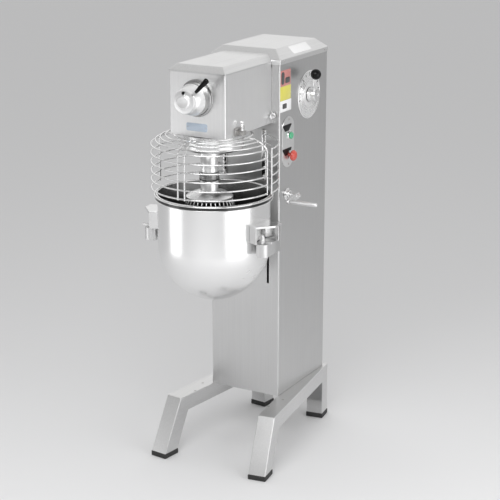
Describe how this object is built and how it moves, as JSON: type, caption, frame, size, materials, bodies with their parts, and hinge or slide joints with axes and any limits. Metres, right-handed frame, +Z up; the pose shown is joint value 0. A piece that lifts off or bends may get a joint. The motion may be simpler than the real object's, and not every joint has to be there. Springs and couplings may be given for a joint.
{
  "type": "planetary floor mixer",
  "caption": "Floor-standing stainless planetary mixer with a lifting round-bottomed bowl, wire whip, turning wire guard, side crank, speed lever and front attachment hub.",
  "frame": {"origin": "on the floor, at the middle of the whole mixer's footprint box", "axes": "+X to the operator's right when facing the bowl's front (the crank side), +Y to the back of the column, +Z up"},
  "size_m": [0.5008, 0.7396, 1.32],
  "materials": {
    "cabinet_steel": "brushed, satin",
    "polished_steel": "polished",
    "guard_wire": "polished wire",
    "cast_metal": "bead-blasted, clear sealed",
    "zinc_steel": "zinc plated",
    "motor_paint": "satin paint",
    "rubber": "matt",
    "black_plastic": "gloss",
    "green_plastic": "gloss",
    "red_plastic": "gloss"
  },
  "bodies": {
    "stand": {"leg_frame_left": "cabinet_steel", "leg_frame_right": "cabinet_steel", "foot_rear_left": "rubber", "foot_front_left": "rubber", "foot_rear_right": "rubber", "foot_front_right": "rubber", "cabinet_shell": "cabinet_steel", "rear_cover": "cabinet_steel", "column_floor": "zinc_steel", "column_cap": "cabinet_steel", "head_housing": "cabinet_steel", "head_cover": "cabinet_steel", "motor": "motor_paint", "motor_plate": "zinc_steel", "drive_belt": "rubber", "gearbox": "cast_metal", "ring_gear": "zinc_steel", "guide_rod_left": "polished_steel", "guide_rod_right": "polished_steel", "rod_bracket_upper": "zinc_steel", "rod_bracket_lower": "zinc_steel", "crank_bush": "polished_steel", "guard_side_left": "guard_wire", "guard_side_right": "guard_wire", "guard_bracket": "zinc_steel", "cabinet_knob": "polished_steel", "attachment_hub": "cast_metal", "speed_dial": "cabinet_steel", "control_plate": "cabinet_steel", "cable_gland": "black_plastic"},
    "bowl_carriage": {"bowl": "polished_steel", "bowl_yoke": "cast_metal", "lift_carriage": "cast_metal", "bowl_ear_left": "cast_metal", "bowl_ear_right": "cast_metal"},
    "clamp_left": {"bowl_clamp_left": "cast_metal"},
    "clamp_right": {"bowl_clamp_right": "cast_metal"},
    "guard": {"guard_front": "guard_wire"},
    "carrier": {"planetary_drum": "polished_steel", "spindle": "zinc_steel", "spindle_pulley": "cast_metal"},
    "agitator": {"agitator_shaft": "polished_steel", "planet_gear": "zinc_steel", "bayonet_collar": "polished_steel", "wire_whip": "polished_steel"},
    "motor_drive": {"motor_pulley": "cast_metal"},
    "hub_drive": {"hub_shaft": "polished_steel"},
    "hub_lever": {"hub_lock_lever": "black_plastic"},
    "hub_lid": {"hub_cover": "polished_steel"},
    "latch": {"guard_latch_pin": "polished_steel"},
    "screw": {"lift_screw": "zinc_steel"},
    "crank": {"crank_shaft": "polished_steel", "crank_arm": "polished_steel", "crank_grip": "polished_steel"},
    "speed_control": {"speed_hub": "polished_steel", "speed_lever": "polished_steel", "speed_ball": "black_plastic"},
    "start": {"start_button": "green_plastic"},
    "stop": {"stop_button": "red_plastic"}
  },
  "joints": [
    {"name": "bowl_lift", "type": "slide", "parent": "stand", "child": "bowl_carriage", "axis": [0, 0, 1], "range_m": [-0.11, 0]},
    {"name": "crank_turn", "type": "hinge", "parent": "stand", "child": "crank", "pos_m": [0.1101, 0.06668, 0.857], "axis": [1, 0, 0], "range_deg": [-1981, 1]},
    {"name": "screw_turn", "type": "hinge", "parent": "stand", "child": "screw", "pos_m": [-0.0144, 0.06668, 0.7], "axis": [0, 0, 1], "range_deg": [-1981, 1]},
    {"name": "clamp_left_turn", "type": "hinge", "parent": "bowl_carriage", "child": "clamp_left", "pos_m": [-0.2124, -0.22632, 0.788], "axis": [0, 0, -1], "range_deg": [0, 90]},
    {"name": "clamp_right_turn", "type": "hinge", "parent": "bowl_carriage", "child": "clamp_right", "pos_m": [0.1836, -0.22632, 0.788], "axis": [0, 0, 1], "range_deg": [0, 90]},
    {"name": "guard_swing", "type": "hinge", "parent": "stand", "child": "guard", "pos_m": [-0.0144, -0.17732, 1], "axis": [0, 0, 1], "range_deg": [0, 120]},
    {"name": "planetary_turn", "type": "hinge", "parent": "stand", "child": "carrier", "pos_m": [-0.0144, -0.17732, 1.06], "axis": [0, 0, 1], "continuous": true},
    {"name": "agitator_turn", "type": "hinge", "parent": "carrier", "child": "agitator", "pos_m": [0.00062, -0.22836, 1], "axis": [0, 0, 1], "continuous": true},
    {"name": "motor_turn", "type": "hinge", "parent": "stand", "child": "motor_drive", "pos_m": [-0.0144, 0.23168, 1.14], "axis": [0, 0, 1], "continuous": true},
    {"name": "hub_turn", "type": "hinge", "parent": "stand", "child": "hub_drive", "pos_m": [-0.0144, -0.27072, 1.209], "axis": [0, -1, 0], "continuous": true},
    {"name": "hub_lever_turn", "type": "hinge", "parent": "stand", "child": "hub_lever", "pos_m": [0.0156, -0.32472, 1.239], "axis": [0.7071, 0, 0.7071], "range_deg": [0, 90]},
    {"name": "hub_lid_swing", "type": "hinge", "parent": "stand", "child": "hub_lid", "pos_m": [-0.0144, -0.34632, 1.236], "axis": [0, 1, 0], "range_deg": [0, 120]},
    {"name": "latch_lift", "type": "slide", "parent": "stand", "child": "latch", "axis": [0, 0, 1], "range_m": [0, 0.008], "stiffness_N_per_m": 300, "springref_m": -0.004},
    {"name": "speed_set", "type": "hinge", "parent": "stand", "child": "speed_control", "pos_m": [0.1356, 0.21368, 1.154], "axis": [1, 0, 0], "range_deg": [-60, 60]},
    {"name": "start_press", "type": "slide", "parent": "stand", "child": "start", "axis": [-1, 0, 0], "range_m": [0, 0.004], "stiffness_N_per_m": 600, "springref_m": -0.002},
    {"name": "stop_press", "type": "slide", "parent": "stand", "child": "stop", "axis": [-1, 0, 0], "range_m": [0, 0.005], "stiffness_N_per_m": 600, "springref_m": -0.002}
  ],
  "couplings": [
    {"joint": "crank_turn", "follows": "bowl_lift", "rad_per_m": 314.16},
    {"joint": "screw_turn", "follows": "bowl_lift", "rad_per_m": 314.16},
    {"joint": "agitator_turn", "follows": "planetary_turn", "ratio": -3},
    {"joint": "motor_turn", "follows": "planetary_turn", "ratio": 1.9375},
    {"joint": "hub_turn", "follows": "planetary_turn", "ratio": 1.5}
  ]
}
